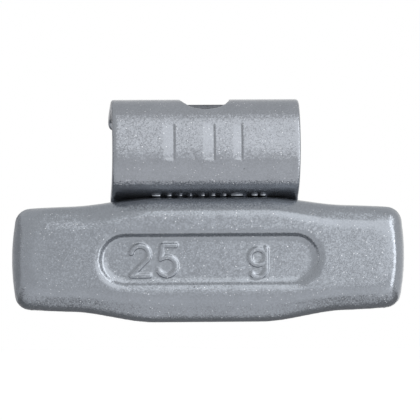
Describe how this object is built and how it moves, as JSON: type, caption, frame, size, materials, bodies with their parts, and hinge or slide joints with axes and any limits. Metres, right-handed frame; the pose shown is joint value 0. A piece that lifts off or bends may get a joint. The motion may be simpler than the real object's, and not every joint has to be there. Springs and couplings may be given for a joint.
{
  "type": "wheel balance weight",
  "caption": "Clip-on wheel balance weight: a forged steel bar, swollen in the middle, with a round sprung hook crimped into its top edge to grip a rim flange.",
  "frame": {"origin": "centre of the round seat inside the clip, at the middle of the clip's width, where the rim flange's edge lies", "axes": "+X along the weight's length, +Y from the front to the back that lies on the rim, +Z from the weight up to the top of the clip"},
  "size_m": [0.0417, 0.009, 0.0237],
  "materials": {
    "body_coat": "silver grey flake coat, satin, soft over every edge",
    "clip_coat": "silver grey flake coat over spring steel, satin"
  },
  "bodies": {
    "root": {"weight_body": "body_coat", "spring_clip": "clip_coat"}
  },
  "joints": []
}
